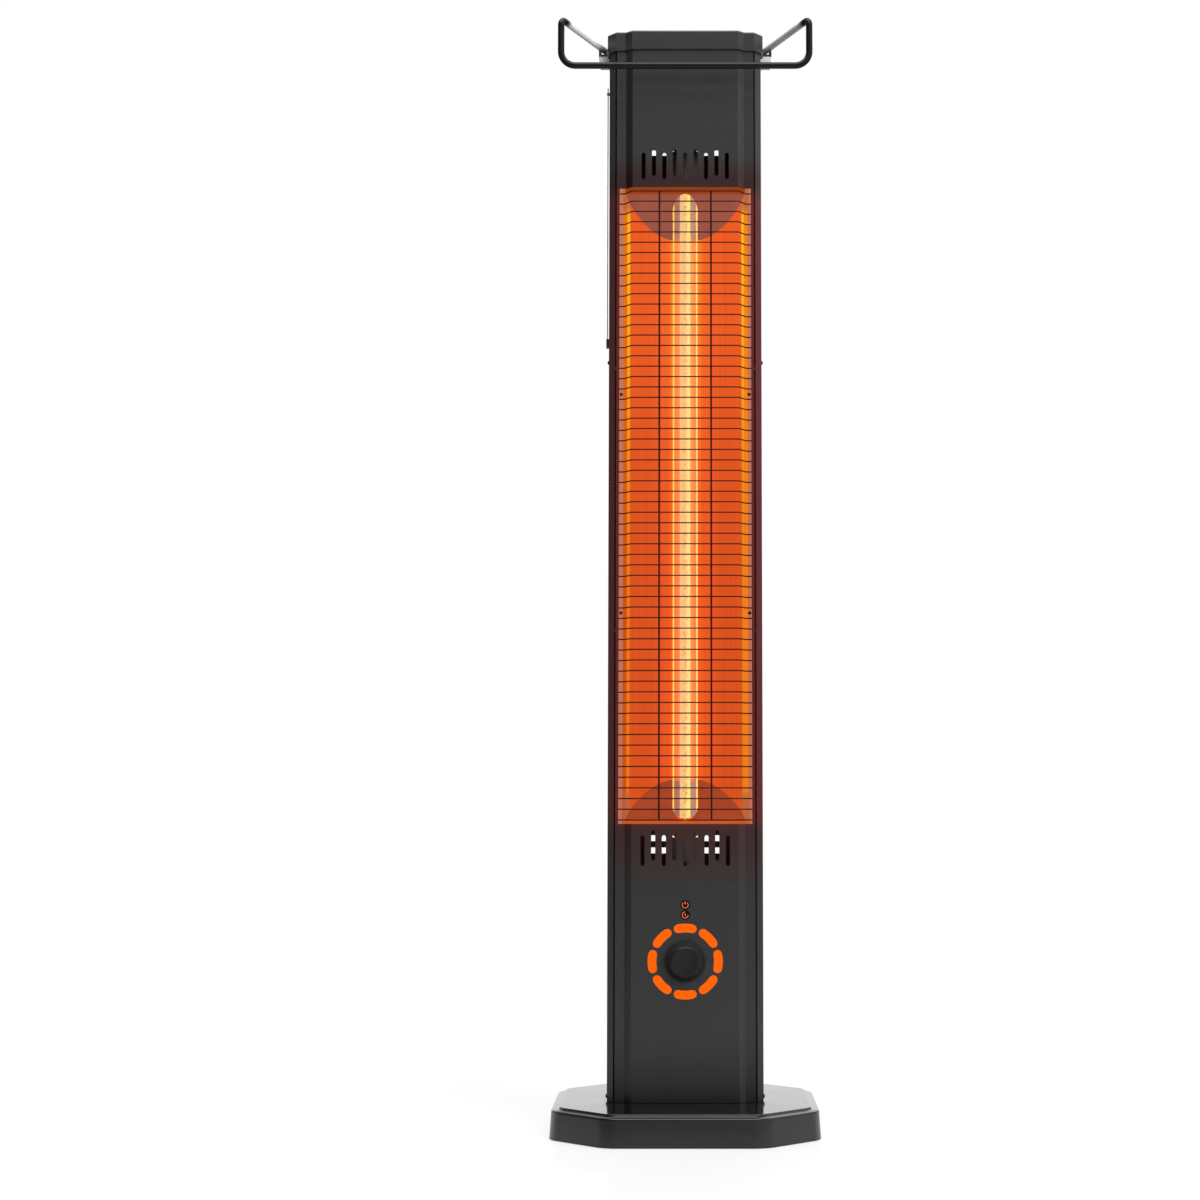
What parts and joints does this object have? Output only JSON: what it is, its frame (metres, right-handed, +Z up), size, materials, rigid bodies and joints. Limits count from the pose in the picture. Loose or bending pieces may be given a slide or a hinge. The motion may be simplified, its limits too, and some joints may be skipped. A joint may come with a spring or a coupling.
{
  "type": "electric patio heater",
  "caption": "Slim upright electric patio heater: a glowing quartz tube in a polished trough behind a wire guard, with a turning knob, light ring, top rail and weighted octagonal base.",
  "frame": {"origin": "on the floor, under the middle of the octagonal base", "axes": "+Z up along the column; the window, knob and rail face -Y; +X is to the right of someone who looks at the front"},
  "size_m": [0.237, 0.237, 0.9993],
  "materials": {
    "black_coat": "fine textured dark grey-black powder coat",
    "gloss_black": "gloss black enamel",
    "black_plastic": "moulded, satin",
    "bare_steel": "plain rolled steel",
    "polished_reflector": "mirror-polished sheet",
    "guard_wire": "welded wire, black plated",
    "quartz": "clear fused quartz",
    "carbon_filament": "wound carbon element, glowing",
    "ceramic": "unglazed steatite",
    "amber_light": "frosted light guide, lit amber",
    "circuit_board": "glass-fibre board with green mask",
    "rubber": "soft moulded rubber",
    "ballast_iron": "rough cast",
    "wire_sleeve": "woven glass sleeve"
  },
  "bodies": {
    "heater": {"base_cover": "gloss_black", "base_bottom_plate": "black_coat", "base_ballast": "ballast_iron", "foot_pad_front_left": "rubber", "foot_pad_front_right": "rubber", "foot_pad_rear_left": "rubber", "foot_pad_rear_right": "rubber", "rear_housing": "black_coat", "front_panel": "black_coat", "top_cap": "black_coat", "wire_guard": "guard_wire", "reflector": "polished_reflector", "reflector_end_lower": "bare_steel", "reflector_end_upper": "bare_steel", "quartz_tube": "quartz", "carbon_element": "carbon_filament", "tube_holder_lower": "ceramic", "tube_holder_upper": "ceramic", "tube_shelf_lower": "bare_steel", "tube_shelf_upper": "bare_steel", "thermal_cutout": "bare_steel", "lead_upper": "wire_sleeve", "lead_lower": "wire_sleeve", "encoder_body": "black_plastic", "light_ring": "amber_light", "sign_lens": "black_plastic", "control_board": "circuit_board", "power_board": "circuit_board", "power_relay": "black_plastic", "heat_sink": "bare_steel", "terminal_block": "black_plastic", "cable_gland": "black_plastic", "foot_bracket": "bare_steel", "foot_bolt_front_left": "bare_steel", "foot_bolt_front_right": "bare_steel", "foot_bolt_rear_left": "bare_steel", "foot_bolt_rear_right": "bare_steel", "side_screw_foot_left": "black_coat", "side_screw_foot_right": "black_coat", "side_screw_upper_left": "black_coat", "side_screw_upper_right": "black_coat", "tip_switch_frame": "black_plastic", "tip_microswitch": "black_plastic", "top_rail": "black_coat", "rail_bracket_left": "black_coat", "rail_bracket_right": "black_coat", "rail_screw_left": "bare_steel", "rail_screw_right": "bare_steel", "side_rod": "bare_steel", "side_rod_clip": "black_plastic", "side_rod_foot": "black_plastic"},
    "press_slider": {"push_slider": "black_plastic"},
    "dial": {"control_knob": "black_plastic", "knob_shaft": "bare_steel"},
    "tip_weight": {"tip_pendulum": "bare_steel"}
  },
  "joints": [
    {"name": "knob_press", "type": "slide", "parent": "heater", "child": "press_slider", "axis": [0, 1, 0], "range_m": [0, 0.001], "stiffness_N_per_m": 1200, "springref_m": -0.0008},
    {"name": "knob_turn", "type": "hinge", "parent": "press_slider", "child": "dial", "pos_m": [0, -0.052, 0.1522], "axis": [0, 1, 0], "continuous": true},
    {"name": "tip_swing", "type": "hinge", "parent": "heater", "child": "tip_weight", "pos_m": [0, 0, 0.0655], "axis": [1, 0, 0], "range_deg": [-35, 35]}
  ]
}
